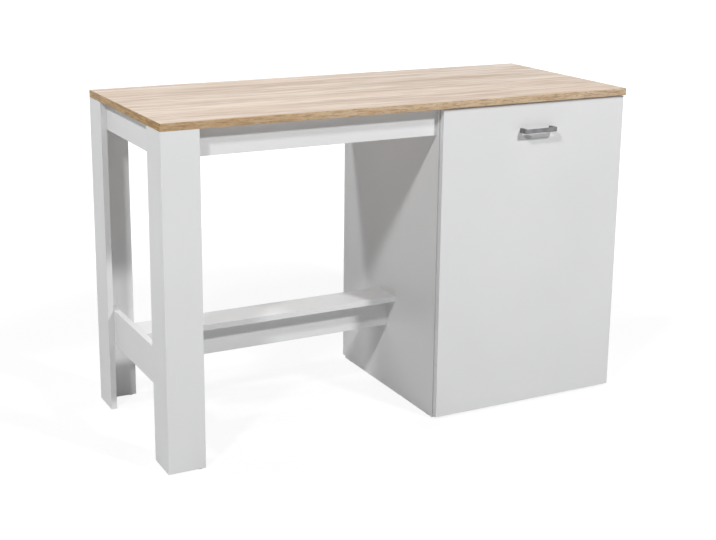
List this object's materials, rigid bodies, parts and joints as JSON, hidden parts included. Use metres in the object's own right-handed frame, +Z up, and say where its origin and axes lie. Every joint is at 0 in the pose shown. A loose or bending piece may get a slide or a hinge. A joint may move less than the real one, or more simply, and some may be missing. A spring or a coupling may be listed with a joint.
{
  "type": "kitchen island",
  "caption": "Bar-height kitchen island: oak-effect worktop on an open leg frame with a footrest at one end and a tall one-door cabinet at the other.",
  "frame": {"origin": "on the floor, under the middle of the whole island's box, the handle included", "axes": "+X to the right along the worktop's length, -Y out of the door's face, +Z up"},
  "size_m": [1.386, 0.596, 0.9],
  "materials": {
    "oak_decor": "matt oak-effect coated chipboard, grain along the length",
    "oak_edging": "matt oak-effect edging strip",
    "white_board": "satin white coated chipboard",
    "handle_metal": "satin nickel colour, fine brushed",
    "hinge_steel": "nickel-plated pressed steel",
    "fitting_steel": "zinc-plated steel",
    "cam_zinc": "raw zinc casting",
    "beech": "bare beech",
    "glide_plastic": "moulded plastic",
    "soft_stop": "clear soft plastic"
  },
  "bodies": {
    "island": {"worktop": "oak_decor", "worktop_edging": "oak_edging", "leg_front_face": "white_board", "leg_front_side": "white_board", "leg_rear_face": "white_board", "leg_rear_side": "white_board", "side_rail": "white_board", "side_apron": "white_board", "front_apron": "white_board", "rear_apron": "white_board", "footrest_shelf": "white_board", "footrest_beam": "white_board", "cabinet_inner_side": "white_board", "cabinet_outer_side": "white_board", "cabinet_bottom": "white_board", "cabinet_back": "white_board", "lower_shelf": "white_board", "upper_shelf": "white_board", "shelf_pins": "fitting_steel", "hinge_arms": "hinge_steel", "hinge_pins": "hinge_steel", "hinge_plates": "hinge_steel", "plate_screws": "fitting_steel", "frame_dowels": "beech", "cabinet_dowels": "beech", "cam_bolts": "fitting_steel", "cam_discs": "cam_zinc", "top_brackets": "fitting_steel", "bracket_screws": "fitting_steel", "glides": "glide_plastic"},
    "door_leaf": {"door": "white_board", "door_handle": "handle_metal", "handle_screws": "fitting_steel", "door_bumpers": "soft_stop", "hinge_cups": "hinge_steel", "cup_screws": "fitting_steel"},
    "links": {"hinge_links": "hinge_steel"}
  },
  "joints": [
    {"name": "door_swing", "type": "hinge", "parent": "island", "child": "door_leaf", "pos_m": [0.6852, -0.263, 0.4425], "axis": [0, 0, 1], "range_deg": [0, 95]},
    {"name": "link_turn", "type": "hinge", "parent": "island", "child": "links", "pos_m": [0.666, -0.2474, 0.4425], "axis": [0, 0, 1], "range_deg": [-14, 0]}
  ],
  "couplings": [
    {"joint": "link_turn", "follows": "door_swing", "ratio": -0.143}
  ]
}
